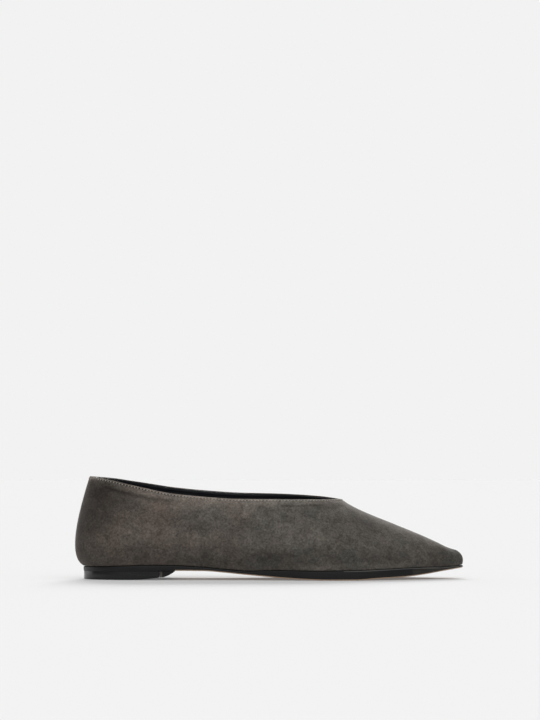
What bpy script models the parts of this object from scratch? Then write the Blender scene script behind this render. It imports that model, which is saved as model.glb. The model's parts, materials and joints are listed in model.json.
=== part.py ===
"""A pointed ballet flat for the right foot: a whole-cut upper, a sock, a thin sole and a low heel.

The shoe stands on the plane z = 0, with its toe to +X and its medial side to +Y. Inside this file the
last is drawn from its rearmost point, at x = 0, and an empty then carries every piece to the origin.
All lengths are in metres."""

import math

import bmesh
import bpy
from mathutils import Vector

# Sizes of the last
SHOE_LENGTH = 0.262
TREAD_WIDTH = 0.078
SEAT_SETBACK = 0.0062
SEAT_ROUNDING = 0.029
TOE_ROUNDING = 0.0105
LAST_HEIGHT = 0.088
LAST_TOP_SETBACK = 0.016

# Sizes of the top line and the vamp
BACK_HEIGHT = 0.0692
THROAT_HEIGHT = 0.0541
VAMP_LENGTH = 0.083
TOE_HEIGHT = 0.0193
TOE_SLOPE_LENGTH = 0.0055
RIDGE_OFFSET = 0.0035

# Sizes of the upper's leather and of the sock
UPPER_WALL = 0.0016
LASTING_MARGIN = 0.009
MARGIN_LIMIT = 0.45
SOCK_THICKNESS = 0.0024
SOCK_CLEARANCE = 0.0004
SOCK_ROUNDING = 0.0007

# Sizes of the sole and the heel
SOLE_THICKNESS = 0.0058
SOLE_OVERHANG = 0.0005
SOLE_EDGE_ROUNDING = 0.0016
TOE_SPRING = 0.0072
HEEL_HEIGHT = 0.0053
HEEL_LENGTH = 0.0515
HEEL_INSET = 0.0003
HEEL_BEVEL = 0.0004
HEEL_RISE = 0.0016
HEEL_FLAT_SHARE = 0.6
FLAP_FOOT_LENGTH = 0.0023
FLAP_LENGTH = 0.0106
FLAP_CLEARANCE = 0.0017
FLAP_INSET = 0.0012
FLAP_ROOT = 0.0009
JOINT_GAP = 0.0003

# How finely the last is cut: ribs beside the collar, ribs beside the vamp, steps up a rib, how far
# the throat rib's foot leads its top, and how evenly the ribs beside the collar are spaced
COLLAR_RIBS = 34
VAMP_RIBS = 16
RIB_STEPS = 11
THROAT_RIB_LEAD = 0.08
EVEN_SPACING = 0.08
SHARP_ANGLE = math.radians(35)

UP = Vector((0, 0, 1))


def table(columns, *rows):
    """A table of sections: one list of numbers under each column's name."""
    return {name: [row[i] for row in rows] for i, name in enumerate(columns)}


# Plan of the tread, from the seat's back (0) to the toe tip (1): half widths, as shares of half
# TREAD_WIDTH, before both ends are rounded.
TREAD = table(
    ("station", "lateral", "medial"),
    (0.00, 0.64, 0.64),
    (0.12, 0.69, 0.67),
    (0.23, 0.70, 0.64),
    (0.34, 0.71, 0.58),
    (0.43, 0.77, 0.58),
    (0.52, 0.88, 0.68),
    (0.60, 0.975, 0.84),
    (0.65, 1.00, 0.94),
    (0.71, 0.965, 1.00),
    (0.77, 0.84, 0.98),
    (0.83, 0.65, 0.89),
    (0.89, 0.42, 0.745),
    (0.95, 0.18, 0.56),
    (1.00, -0.01, 0.40),
)

# Side view of the sole, over the shoe's length: the underside as shares of the heel's height and of
# the toe spring, and the thickness as a share of SOLE_THICKNESS.
SOLE_LINE = table(
    ("station", "heel", "spring", "thickness"),
    (0.00, 1.00, 0.00, 0.48),
    (0.08, 1.00, 0.00, 0.55),
    (0.20, 1.00, 0.00, 0.70),
    (0.27, 1.08, 0.00, 0.58),
    (0.33, 1.06, 0.00, 0.43),
    (0.385, 0.87, 0.00, 0.375),
    (0.435, 0.64, 0.00, 0.415),
    (0.49, 0.41, 0.00, 0.665),
    (0.54, 0.22, 0.00, 0.88),
    (0.60, 0.06, 0.00, 0.99),
    (0.64, 0.00, 0.00, 1.05),
    (0.72, 0.00, 0.00, 1.09),
    (0.77, 0.00, 0.115, 1.03),
    (0.85, 0.00, 0.267, 0.98),
    (0.90, 0.00, 0.472, 0.78),
    (0.95, 0.00, 0.764, 0.42),
    (1.00, 0.00, 1.00, 0.30),
)

# Side view of the top line, over the length from the rearmost point to the throat: heights as shares
# of the drop from the back to the throat.
TOP_LINE = table(
    ("station", "lateral", "medial"),
    (0.000, 1.04, 1.04),
    (0.052, 0.99, 1.00),
    (0.130, 0.85, 0.93),
    (0.205, 0.65, 0.80),
    (0.282, 0.44, 0.66),
    (0.357, 0.26, 0.52),
    (0.470, 0.11, 0.38),
    (0.622, 0.00, 0.26),
    (0.773, -0.01, 0.22),
    (0.925, -0.01, 0.12),
    (1.000, 0.00, 0.00),
)

# Crest of the last behind the throat, from its back (0) to the throat (1): its height as a share of
# the rise from the throat to the last's top. The top line cuts the leather below it.
CREST = table(
    ("station", "rise"),
    (0.000, 1.000),
    (0.390, 0.930),
    (0.640, 0.720),
    (0.790, 0.490),
    (0.883, 0.310),
    (0.945, 0.165),
    (0.975, 0.080),
    (1.000, 0.000),
)

# Ridge of the vamp, from the throat (0) to the top of the toe (1): how much of the drop is done.
RIDGE = table(
    ("station", "drop"),
    (0.00, 0.000),
    (0.065, 0.102),
    (0.16, 0.213),
    (0.28, 0.330),
    (0.47, 0.501),
    (0.71, 0.720),
    (0.84, 0.851),
    (0.94, 0.958),
    (1.00, 1.000),
)

# Section of the sole's edge, from its upper to its lower face: how far in it lies, as shares of the
# overhang and of the edge's rounding, and its height as a share of the thickness.
SOLE_EDGE = table(
    ("over", "under", "height"),
    (1.0, 0.0, 1.00),
    (0.0, 0.0, 0.88),
    (0.0, 0.0, 0.45),
    (0.0, 0.3, 0.14),
    (0.0, 1.0, 0.00),
)

# Form of a rib of the last, by its place: 0 at the back, 1 at the throat, 2 at the toe tip. The swells
# bend its foot and its shoulder outwards, as shares of half TREAD_WIDTH. The rises and falls are
# shares of the rib's height, and the reach is how far the shoulder lies out over the rib's run.
RIB_FORM = table(
    ("place", "foot_swell", "foot_rise", "shoulder_swell", "shoulder_fall", "reach"),
    (0.00, 0.385, 0.085, 0.000, 0.350, 0.90),
    (0.10, 0.350, 0.10, 0.050, 0.280, 0.92),
    (0.22, 0.270, 0.17, 0.100, 0.180, 0.95),
    (0.45, 0.190, 0.25, 0.150, 0.080, 1.00),
    (0.70, 0.140, 0.32, 0.070, 0.020, 0.85),
    (0.85, 0.115, 0.37, 0.020, 0.000, 0.66),
    (1.00, 0.100, 0.40, 0.000, 0.000, 0.56),
    (1.30, 0.080, 0.43, 0.000, 0.000, 0.54),
    (1.70, 0.056, 0.50, 0.000, 0.000, 0.55),
    (1.90, 0.054, 0.54, 0.000, 0.000, 0.70),
    (2.00, 0.050, 0.58, 0.000, 0.000, 0.62),
)


def slopes(places, values):
    """Slopes at a table's rows that keep the curve between two rows inside them."""
    steps = [
        (values[i + 1] - values[i]) / (places[i + 1] - places[i])
        for i in range(len(places) - 1)
    ]
    inner = [
        2 * a * b / (a + b) if a * b > 0 else 0.0
        for a, b in zip(steps, steps[1:])
    ]
    return [steps[0], *inner, steps[-1]]


def read(rows, column, place):
    """A column of a table at any place, on a smooth curve through its rows."""
    places = next(iter(rows.values()))
    values = rows[column]
    place = min(max(place, places[0]), places[-1])
    i = max(k for k in range(len(places) - 1) if places[k] <= place)
    span = places[i + 1] - places[i]
    t = (place - places[i]) / span
    slope = slopes(places, values)
    return (
        (2 * t**3 - 3 * t**2 + 1) * values[i]
        + (t**3 - 2 * t**2 + t) * span * slope[i]
        + (3 * t**2 - 2 * t**3) * values[i + 1]
        + (t**3 - t**2) * span * slope[i + 1]
    )


def rounded(distance, radius):
    """Share of the full width at a distance from a rounded end."""
    if distance >= radius:
        return 1.0
    return math.sqrt(max(0.0, 1 - (1 - distance / radius) ** 2))


def sole_underside(x):
    """Height of the sole's underside."""
    station = x / SHOE_LENGTH
    seat = HEEL_HEIGHT + JOINT_GAP
    return seat * read(SOLE_LINE, "heel", station) + TOE_SPRING * read(SOLE_LINE, "spring", station)


def sole_top(x):
    """Height of the sole's upper face."""
    return sole_underside(x) + SOLE_THICKNESS * read(SOLE_LINE, "thickness", x / SHOE_LENGTH)


# Ends of the tread and of the collar along X
TREAD_BACK = SEAT_SETBACK
TREAD_TIP = SHOE_LENGTH - SOLE_OVERHANG
THROAT_X = SHOE_LENGTH - VAMP_LENGTH
RIDGE_END_X = SHOE_LENGTH - TOE_SLOPE_LENGTH
HEEL_BACK = TREAD_BACK - SOLE_OVERHANG + HEEL_INSET
BREAST_X = HEEL_BACK + HEEL_LENGTH


def tread_middle(x):
    """Y of the tread's middle at x, and half of its width there before its ends are rounded."""
    station = (x - TREAD_BACK) / (TREAD_TIP - TREAD_BACK)
    lateral = read(TREAD, "lateral", station) * TREAD_WIDTH / 2
    medial = read(TREAD, "medial", station) * TREAD_WIDTH / 2
    return (medial - lateral) / 2, (medial + lateral) / 2


def tread_sides(x):
    """Y of the lateral and the medial edge of the tread."""
    middle, half = tread_middle(x)
    half *= rounded(x - TREAD_BACK, SEAT_ROUNDING) * rounded(TREAD_TIP - x, TOE_ROUNDING)
    return middle - half, middle + half


def tread_station(rib):
    """X of a rib's foot: closer together round the seat, beside the throat and round the toe."""
    foot_of_throat = THROAT_X + THROAT_RIB_LEAD * (TREAD_TIP - THROAT_X)
    if rib <= COLLAR_RIBS:
        t = rib / COLLAR_RIBS
        share = (1 - EVEN_SPACING) * (1 - math.cos(math.pi * t)) / 2 + EVEN_SPACING * t
        return TREAD_BACK + share * (foot_of_throat - TREAD_BACK)
    t = (rib - COLLAR_RIBS) / VAMP_RIBS
    return foot_of_throat + math.sin(math.pi * t / 2) * (TREAD_TIP - foot_of_throat)


RIBS = COLLAR_RIBS + VAMP_RIBS


def tread_ring(stations):
    """Plan of the tread as one ring: along the lateral side to the front, and back along the medial."""
    lateral = [Vector((x, tread_sides(x)[0], 0)) for x in stations]
    medial = [Vector((x, tread_sides(x)[1], 0)) for x in stations]
    return lateral + medial[::-1]


def outward(ring):
    """Outward directions in plan at the points of a ring."""
    distinct = 1e-7
    normals = []
    for i, point in enumerate(ring):
        before, after = i - 1, (i + 1) % len(ring)
        if (ring[before] - point).length < distinct:
            before -= 1
        if (ring[after] - point).length < distinct:
            after = (after + 1) % len(ring)
        along = ring[after] - ring[before]
        normals.append(Vector((along.y, -along.x, 0)).normalized())
    return normals


def inset(ring, distance):
    """A ring moved inwards in plan."""
    return [point - normal * distance for point, normal in zip(ring, outward(ring))]


def margin_ring(ring, share):
    """A ring moved inwards by a share of the lasting margin, which narrows where the toe does."""
    moved = []
    for point, normal in zip(ring, outward(ring)):
        margin = min(LASTING_MARGIN, MARGIN_LIMIT * tread_middle(point.x)[1])
        moved.append(point - normal * margin * share)
    return moved


def raised(ring, height):
    """A ring set at heights given by a function of x."""
    return [Vector((p.x, p.y, height(p.x))) for p in ring]


def ridge_y(x):
    """Y of the crest and the ridge: the middle of the tread, moved to the medial side at the throat."""
    moved = min(x / THROAT_X, (TREAD_TIP - x) / (TREAD_TIP - THROAT_X))
    return tread_middle(x)[0] + RIDGE_OFFSET * moved


def top_line_height(x, side):
    """Height of the top line at x, on one side."""
    share = read(TOP_LINE, side, x / THROAT_X)
    return THROAT_HEIGHT + share * (BACK_HEIGHT - THROAT_HEIGHT)


def crest_point(place):
    """The top of a rib: on the last's crest behind the throat, on the vamp's ridge before it."""
    if place <= 1:
        station = (1 - math.cos(math.pi * place)) / 2
        x = LAST_TOP_SETBACK + station * (THROAT_X - LAST_TOP_SETBACK)
        z = THROAT_HEIGHT + read(CREST, "rise", station) * (LAST_HEIGHT - THROAT_HEIGHT)
    else:
        t = place - 1
        station = (t + math.sin(math.pi * t / 2)) / 2
        x = THROAT_X + station * (RIDGE_END_X - THROAT_X)
        z = THROAT_HEIGHT + read(RIDGE, "drop", station) * (TOE_HEIGHT - THROAT_HEIGHT)
    return Vector((x, ridge_y(x), z))


def crest_slope(place):
    """Slope of the crest and the ridge at a rib's top."""
    step = 0.02
    behind = crest_point(max(0.0, place - step))
    ahead = crest_point(min(2.0, place + step))
    return (ahead.z - behind.z) / (ahead.x - behind.x)


def rib_curve(place, foot, normal):
    """The four control points of a rib of the last, from its foot to its top."""
    form = {name: read(RIB_FORM, name, place) for name in RIB_FORM}
    half = TREAD_WIDTH / 2
    top = crest_point(place)
    height = top.z - foot.z
    run = Vector((foot.x - top.x, foot.y - top.y, 0))
    low = foot + normal * form["foot_swell"] * half + UP * form["foot_rise"] * height
    high = top + run * form["reach"] + normal * form["shoulder_swell"] * half
    high.z += crest_slope(place) * (high.x - top.x) - form["shoulder_fall"] * height
    return foot, low, high, top


def curve_point(curve, t):
    """A point of a cubic curve."""
    foot, low, high, top = curve
    return (
        foot * (1 - t) ** 3
        + low * 3 * t * (1 - t) ** 2
        + high * 3 * t**2 * (1 - t)
        + top * t**3
    )


def cut_place(curve, side):
    """How far up a rib the top line cuts it."""
    low, high = 0.0, 1.0
    for _ in range(40):
        middle = (low + high) / 2
        point = curve_point(curve, middle)
        if point.z < top_line_height(point.x, side):
            low = middle
        else:
            high = middle
    return low


def rib_points(rib, side, foot, normal):
    """One rib of the upper, as points from its foot on the tread to the top line or the ridge."""
    place = rib / COLLAR_RIBS
    if rib > COLLAR_RIBS:
        place = 1 + (rib - COLLAR_RIBS) / VAMP_RIBS
    curve = rib_curve(place, foot, normal)
    end = cut_place(curve, side) if rib < COLLAR_RIBS else 1.0
    return [curve_point(curve, end * step / RIB_STEPS) for step in range(RIB_STEPS + 1)]


def add_band(bm, lower, upper):
    """Faces between two rings of vertices."""
    count = len(lower)
    for i in range(count):
        j = (i + 1) % count
        bm.faces.new((lower[i], lower[j], upper[j], upper[i]))


def add_cap(bm, ring, faces_up):
    """Faces across a ring, from each point of its lateral side to its partner on the medial side."""
    last = len(ring) - 1
    for i in range(len(ring) // 2 - 1):
        corners = (ring[i], ring[i + 1], ring[last - i - 1], ring[last - i])
        bm.faces.new(corners if faces_up else corners[::-1])


def make_object(name, bm, material):
    """A smooth-shaded object, made from a bmesh whose doubled points are welded."""
    bmesh.ops.remove_doubles(bm, verts=bm.verts, dist=1e-6)
    mesh = bpy.data.meshes.new(name)
    bm.to_mesh(mesh)
    bm.free()
    mesh.materials.append(material)
    mesh.shade_smooth()
    mesh.set_sharp_from_angle(angle=SHARP_ANGLE)
    piece = bpy.data.objects.new(name, mesh)
    bpy.data.collections["ballet_flat"].objects.link(piece)
    return piece


def make_plate(name, rings, material):
    """A closed plate: rings from its upper face round its edge to its underside, with both faces."""
    bm = bmesh.new()
    rows = [[bm.verts.new(point) for point in ring] for ring in rings]
    add_cap(bm, rows[0], True)
    for upper, lower in zip(rows, rows[1:]):
        add_band(bm, lower, upper)
    add_cap(bm, rows[-1], False)
    return make_object(name, bm, material)


def make_material(name, colour, roughness, metallic=0.0):
    """A Principled material with one colour, given as red, green and blue."""
    material = bpy.data.materials.new(name)
    material.use_nodes = True
    shader = material.node_tree.nodes["Principled BSDF"]
    shader.inputs["Base Color"].default_value = (*colour, 1.0)
    shader.inputs["Roughness"].default_value = roughness
    shader.inputs["Metallic"].default_value = metallic
    return material


def make_upper(stations, material):
    """The hollow upper: ribs round the last, a margin turned in below them, and a wall of leather."""
    tread = tread_ring(stations)
    normals = outward(tread)
    feet = raised(tread, lambda x: sole_top(x) + JOINT_GAP)
    ribs = []
    for i in range(len(feet)):
        rib = i if i <= RIBS else 2 * RIBS + 1 - i
        side = "lateral" if i <= RIBS or rib == 0 else "medial"
        ribs.append(rib_points(rib, side, feet[i], normals[i]))

    rows = [
        raised(margin_ring(tread, share), lambda x: sole_top(x) + JOINT_GAP)
        for share in (1.0, 0.5)
    ]
    rows += [[rib[step] for rib in ribs] for step in range(RIB_STEPS + 1)]
    bm = bmesh.new()
    loops = [[bm.verts.new(point) for point in row] for row in rows]
    for lower, upper in zip(loops, loops[1:]):
        add_band(bm, lower, upper)
    upper_piece = make_object("upper", bm, material)
    wall = upper_piece.modifiers.new("wall", "SOLIDIFY")
    wall.thickness = UPPER_WALL
    wall.offset = -1
    wall.use_quality_normals = True
    return upper_piece


def make_insole(stations, material):
    """The sock, inside the upper's wall and on its lasting margin."""
    board = inset(tread_ring(stations), UPPER_WALL + JOINT_GAP + SOCK_CLEARANCE)

    def bed(x):
        return sole_top(x) + JOINT_GAP + UPPER_WALL + JOINT_GAP

    rings = [
        raised(inset(board, SOCK_ROUNDING), lambda x: bed(x) + SOCK_THICKNESS),
        raised(board, lambda x: bed(x) + SOCK_THICKNESS - SOCK_ROUNDING),
        raised(board, bed),
    ]
    return make_plate("insole", rings, material)


def make_flap(material):
    """The end of the sole that is turned down over the front of the heel, as a wedge."""
    back = BREAST_X + JOINT_GAP
    corner = back + FLAP_FOOT_LENGTH
    front = back + FLAP_LENGTH
    bm = bmesh.new()
    rows = []
    for x, z in ((back, FLAP_CLEARANCE), (corner, FLAP_CLEARANCE), (front, sole_underside(front))):
        lateral, medial = tread_sides(x)
        y_low, y_high = lateral + FLAP_INSET, medial - FLAP_INSET
        top = sole_underside(x) + FLAP_ROOT
        row = [(x, y_low, z), (x, y_high, z), (x, y_high, top), (x, y_low, top)]
        rows.append([bm.verts.new(point) for point in row])
    bm.faces.new(rows[0][::-1])
    for behind, ahead in zip(rows, rows[1:]):
        add_band(bm, behind, ahead)
    bm.faces.new(rows[-1])
    bmesh.ops.recalc_face_normals(bm, faces=bm.faces)
    flap = make_object("sole_flap", bm, material)
    bpy.data.collections["ballet_flat"].objects.unlink(flap)
    bpy.data.collections["cutters"].objects.link(flap)
    flap.hide_render = True
    flap.display_type = "WIRE"
    return flap


def make_outsole(stations, material):
    """The sole, with a rounded lower edge, and the flap joined on in front of the heel."""
    edge = inset(tread_ring(stations), -SOLE_OVERHANG)

    def edge_height(share):
        return lambda x: sole_underside(x) + share * (sole_top(x) - sole_underside(x))

    rings = [
        raised(inset(edge, over * SOLE_OVERHANG + under * SOLE_EDGE_ROUNDING), edge_height(height))
        for over, under, height in zip(*SOLE_EDGE.values())
    ]
    outsole = make_plate("outsole", rings, material)
    joined = outsole.modifiers.new("flap", "BOOLEAN")
    joined.operation = "UNION"
    joined.solver = "EXACT"
    joined.object = make_flap(material)
    return outsole


def make_heel_block(stations, material):
    """The low heel: the seat's outline cut straight at the breast, its tread rising to the front."""
    block = [x for x in stations if x < BREAST_X - HEEL_BEVEL] + [BREAST_X]
    edge = inset(tread_ring(block), HEEL_INSET - SOLE_OVERHANG)
    edge = [Vector((min(p.x, BREAST_X), p.y, 0)) for p in edge]
    flat_length = HEEL_FLAT_SHARE * HEEL_LENGTH

    def tread(x):
        t = max(0.0, (x - HEEL_BACK - flat_length) / (HEEL_LENGTH - flat_length))
        return HEEL_RISE * t * t

    rings = [
        raised(inset(edge, HEEL_BEVEL), lambda x: HEEL_HEIGHT),
        raised(edge, lambda x: HEEL_HEIGHT - HEEL_BEVEL),
        raised(edge, lambda x: tread(x) + HEEL_BEVEL),
        raised(inset(edge, HEEL_BEVEL), tread),
    ]
    return make_plate("heel_block", rings, material)


def clear_scene():
    """Remove what the scene holds, and add the two collections."""
    for thing in list(bpy.data.objects):
        bpy.data.objects.remove(thing, do_unlink=True)
    for name in ("ballet_flat", "cutters"):
        bpy.context.scene.collection.children.link(bpy.data.collections.new(name))


def carry_to_origin(pieces):
    """Parent the pieces to an empty that puts the middle of their plan at the origin."""
    corners = [vertex.co for piece in pieces for vertex in piece.data.vertices]
    middle = [(min(c[i] for c in corners) + max(c[i] for c in corners)) / 2 for i in (0, 1)]
    carrier = bpy.data.objects.new("last_frame", None)
    carrier.location = (-middle[0], -middle[1], 0)
    bpy.data.collections["cutters"].objects.link(carrier)
    for piece in pieces:
        piece.parent = carrier


def main():
    clear_scene()
    suede = make_material("taupe_suede", (0.085, 0.071, 0.061), 0.95)
    sock = make_material("black_sock_leather", (0.012, 0.012, 0.014), 0.6)
    sole = make_material("dark_sole_leather", (0.022, 0.021, 0.020), 0.55)
    gloss = make_material("black_heel_gloss", (0.012, 0.012, 0.013), 0.18)
    stations = [tread_station(rib) for rib in range(RIBS + 1)]
    pieces = [
        make_upper(stations, suede),
        make_insole(stations, sock),
        make_outsole(stations, sole),
        make_heel_block(stations, gloss),
    ]
    carry_to_origin(pieces + [bpy.data.objects["sole_flap"]])


main()
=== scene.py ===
"""Looks of a pointed ballet flat in taupe suede: leather, lining, stitching, sole edge, heel and light.

Lengths are in metres. The last is drawn from its rearmost point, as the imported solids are, and every
finished mesh is then moved to where those solids lie. Its toe points to +X, its medial side to +Y."""

import json
import math

import bmesh
import bpy
from mathutils import Matrix, Vector
from mathutils.bvhtree import BVHTree
from mathutils.kdtree import KDTree

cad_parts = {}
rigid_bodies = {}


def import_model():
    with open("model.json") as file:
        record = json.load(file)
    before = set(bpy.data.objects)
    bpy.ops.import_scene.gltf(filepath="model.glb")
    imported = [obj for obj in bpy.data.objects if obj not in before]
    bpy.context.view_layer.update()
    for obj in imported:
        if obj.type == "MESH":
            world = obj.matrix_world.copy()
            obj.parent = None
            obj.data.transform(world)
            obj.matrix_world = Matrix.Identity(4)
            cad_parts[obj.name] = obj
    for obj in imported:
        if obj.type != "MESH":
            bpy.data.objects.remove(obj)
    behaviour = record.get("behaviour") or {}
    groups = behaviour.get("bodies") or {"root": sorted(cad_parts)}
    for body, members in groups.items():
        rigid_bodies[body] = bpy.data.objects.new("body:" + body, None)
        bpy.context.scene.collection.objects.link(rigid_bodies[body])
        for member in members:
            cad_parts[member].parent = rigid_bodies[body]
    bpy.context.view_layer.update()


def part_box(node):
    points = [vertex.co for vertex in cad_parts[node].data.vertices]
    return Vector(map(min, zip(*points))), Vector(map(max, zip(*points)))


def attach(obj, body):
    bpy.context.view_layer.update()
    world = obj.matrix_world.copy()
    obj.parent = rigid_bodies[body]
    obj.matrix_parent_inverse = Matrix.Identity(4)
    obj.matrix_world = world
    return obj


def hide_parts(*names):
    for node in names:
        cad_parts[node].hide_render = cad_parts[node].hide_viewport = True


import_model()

MM = 0.001
UP = Vector((0, 0, 1))

# Driving sizes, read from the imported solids
UPPER_LOW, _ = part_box("upper")
SOLE_LOW, SOLE_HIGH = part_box("outsole")
SOLE_OVERHANG = 0.5 * MM
SHOE_LENGTH = SOLE_HIGH.x - UPPER_LOW.x
TREAD_WIDTH = SOLE_HIGH.y - SOLE_LOW.y - 2 * SOLE_OVERHANG
ORIGIN = Vector((UPPER_LOW.x, (SOLE_LOW.y + SOLE_HIGH.y) / 2, 0))

# Sizes of the last, the top line and the vamp
SEAT_SETBACK = 6.2 * MM
SEAT_ROUNDING = 29 * MM
TOE_ROUNDING = 10.5 * MM
LAST_HEIGHT = 88 * MM
LAST_TOP_SETBACK = 16 * MM
BACK_HEIGHT = 69.2 * MM
THROAT_HEIGHT = 54.1 * MM
VAMP_LENGTH = 83 * MM
TOE_HEIGHT = 19.3 * MM
TOE_SLOPE_LENGTH = 5.5 * MM
RIDGE_OFFSET = 3.5 * MM
THROAT_RIB_LEAD = 0.08
EVEN_SPACING = 0.08

# Sizes of the sole and the heel
SOLE_THICKNESS = 5.8 * MM
TOE_SPRING = 7.2 * MM
HEEL_HEIGHT = 5.3 * MM
HEEL_LENGTH = 51.5 * MM
HEEL_INSET = 0.3 * MM
HEEL_BEVEL = 0.45 * MM
HEEL_RISE = 1.6 * MM
HEEL_FLAT_SHARE = 0.6
FLAP_FOOT_LENGTH = 2.3 * MM
FLAP_LENGTH = 10.6 * MM
FLAP_CLEARANCE = 1.7 * MM
FLAP_INSET = 1.2 * MM
FLAP_ROOT = 0.9 * MM
FLAP_COVER = 1.8 * MM
JOINT_GAP = 0.3 * MM
HEEL_TOP = HEEL_HEIGHT + 0.24 * MM

# Layers of the upper: suede with a rolled top edge, the lining inside it (its trimmed edge as shares
# of its thickness and of its reach), and the margin turned in over the sole
SUEDE_THICKNESS = 1.0 * MM
EDGE_ROLL = SUEDE_THICKNESS / 2
WALL = 1.6 * MM
LINING_GAP = 0.02 * MM
LINING_REACH = 0.32 * MM
LINING_START = 2.2 * MM
LASTING_MARGIN = 9 * MM
MARGIN_LIMIT = 0.45
MARGIN_ROWS = (0.3, 1.0)
FEATHER_ROLL = 0.65 * MM
EDGE_TURNS = 7
LINING_EDGE = ((0.0, 0.8), (0.2, 1.0), (0.75, 1.0), (1.0, 0.55))

# Stitching along the top line: slanted stitches that taper and dive at both ends, and the needle
# holes between them, which are larger at the heel
STITCH_PITCH = 2.2 * MM
STITCH_LENGTH = 1.25 * MM
STITCH_WIDTH = 0.56 * MM
STITCH_FLATNESS = 0.85
STITCH_TAPER = 3.2
STITCH_END_GIRTH = 0.10
STITCH_DIVE = 2.5
STITCH_SINK = 0.62 * STITCH_WIDTH
STITCH_LIFT = 0.02 * MM
STITCH_DEPTH_BELOW_EDGE = 1.40 * MM
STITCH_SLANT = math.radians(26)
STITCH_RINGS = 6
STITCH_SIDES = 8
HOLE_LENGTH_BACK = 0.84 * MM
HOLE_LENGTH_FRONT = 0.38 * MM
HOLE_SHAPE = 0.85
HOLE_DEPTH = 0.25 * MM
HOLE_LIFT = 0.012 * MM
HOLES_SHRINK_FROM_X = 45 * MM
HOLES_SHRINK_TO_X = 85 * MM

# The sock: its top above the sole, its leather, and how it curls up where it meets the lining
SOCK_HEIGHT = 2 * JOINT_GAP + WALL + 2.4 * MM
SOCK_THICKNESS = 1.6 * MM
SOCK_CURL = 0.7 * MM
SOCK_CURL_POWER = 7
SOCK_COLUMNS = 22
SOCK_EDGE_GAP = 0.12 * MM
SOCK_TOE_GAP = 9 * MM

# Section of the sole's edge, from its upper face down: how far in from the edge it lies and how far
# below the upper face, or above the underside, in millimetres
SOLE_EDGE_ABOVE = ((1.6, 0.0), (0.55, 0.0), (0.28, 0.08), (0.09, 0.28), (0.0, 0.58))
SOLE_EDGE_BELOW = ((0.0, 1.1), (0.05, 0.72), (0.20, 0.42), (0.48, 0.17), (0.95, 0.03), (1.7, 0.0))
SOLE_INSET_LIMIT = 0.4
SEAT_CORNER = 0.15 * MM

# Finishes of the sole: rows of its lower edge that are painted, a painted highlight on the edge's upper
# corner towards the toe, and lighter edge paint on the side at the toe
PAINT, TAN, CUT, CORNER_HIGHLIGHT, LIGHTER_TOE_EDGE = range(5)
PAINTED_BELOW = 2
CORNER_HIGHLIGHT_FROM_X = 180 * MM
LIGHTER_TOE_EDGE_FROM_X = 226 * MM

# Form of the flap at the heel and of the heel's rounded edges
FLAP_STEPS = 7
FLAP_STRAIGHT = 0.45
FLAP_SOFT_EDGE = 0.3 * MM
FLAP_THIN_EDGE = 0.02 * MM
FLAP_THIN_FROM = 0.95
BEVEL_STEPS = 4
HEEL_TOP_BEVEL = 0.4 * HEEL_BEVEL

# How finely the upper is cut, and how much closer its ribs lie near the seam and the throat
COLLAR_RIBS = 150
VAMP_RIBS = 84
BODY_ROWS = 38
COLLAR_SAMPLES = 260
COLLAR_START = 2.2
VAMP_SAMPLES = 160
RIB_SAMPLES = 48
SEAM_CLOSER, SEAM_REACH = 4, 4 * MM
COLLAR_CLOSER, COLLAR_REACH = 2, 10 * MM
VAMP_CLOSER, VAMP_REACH = 3, 9 * MM
SHARP_ANGLE = math.radians(38)


def table(columns, *rows):
    """A table of sections: one list of numbers under each column's name."""
    return {name: [row[i] for row in rows] for i, name in enumerate(columns)}


# Plan of the tread, from the seat's back (0) to the toe tip (1), as shares of half TREAD_WIDTH
TREAD = table(
    ("station", "lateral", "medial"),
    (0.00, 0.64, 0.64),
    (0.12, 0.69, 0.67),
    (0.23, 0.70, 0.64),
    (0.34, 0.71, 0.58),
    (0.43, 0.77, 0.58),
    (0.52, 0.88, 0.68),
    (0.60, 0.975, 0.84),
    (0.65, 1.00, 0.94),
    (0.71, 0.965, 1.00),
    (0.77, 0.84, 0.98),
    (0.83, 0.65, 0.89),
    (0.89, 0.42, 0.745),
    (0.95, 0.18, 0.56),
    (1.00, -0.01, 0.40),
)

# Side view of the sole: shares of the heel's height, of the toe spring and of the sole's thickness
SOLE_LINE = table(
    ("station", "heel", "spring", "thickness"),
    (0.00, 1.00, 0.00, 0.48),
    (0.08, 1.00, 0.00, 0.55),
    (0.20, 1.00, 0.00, 0.70),
    (0.27, 1.08, 0.00, 0.58),
    (0.33, 1.06, 0.00, 0.43),
    (0.385, 0.87, 0.00, 0.375),
    (0.435, 0.64, 0.00, 0.415),
    (0.49, 0.41, 0.00, 0.665),
    (0.54, 0.22, 0.00, 0.88),
    (0.60, 0.06, 0.00, 0.99),
    (0.64, 0.00, 0.00, 1.05),
    (0.72, 0.00, 0.00, 1.09),
    (0.77, 0.00, 0.115, 1.03),
    (0.85, 0.00, 0.267, 0.98),
    (0.90, 0.00, 0.472, 0.78),
    (0.95, 0.00, 0.764, 0.42),
    (1.00, 0.00, 1.00, 0.30),
)

# Side view of the top line: shares of the drop from the back to the throat
TOP_LINE = table(
    ("station", "lateral", "medial"),
    (0.000, 1.04, 1.04),
    (0.052, 0.99, 1.00),
    (0.130, 0.85, 0.93),
    (0.205, 0.65, 0.80),
    (0.282, 0.44, 0.66),
    (0.357, 0.26, 0.52),
    (0.470, 0.11, 0.38),
    (0.622, 0.00, 0.26),
    (0.773, -0.01, 0.22),
    (0.925, -0.01, 0.12),
    (1.000, 0.00, 0.00),
)

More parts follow.
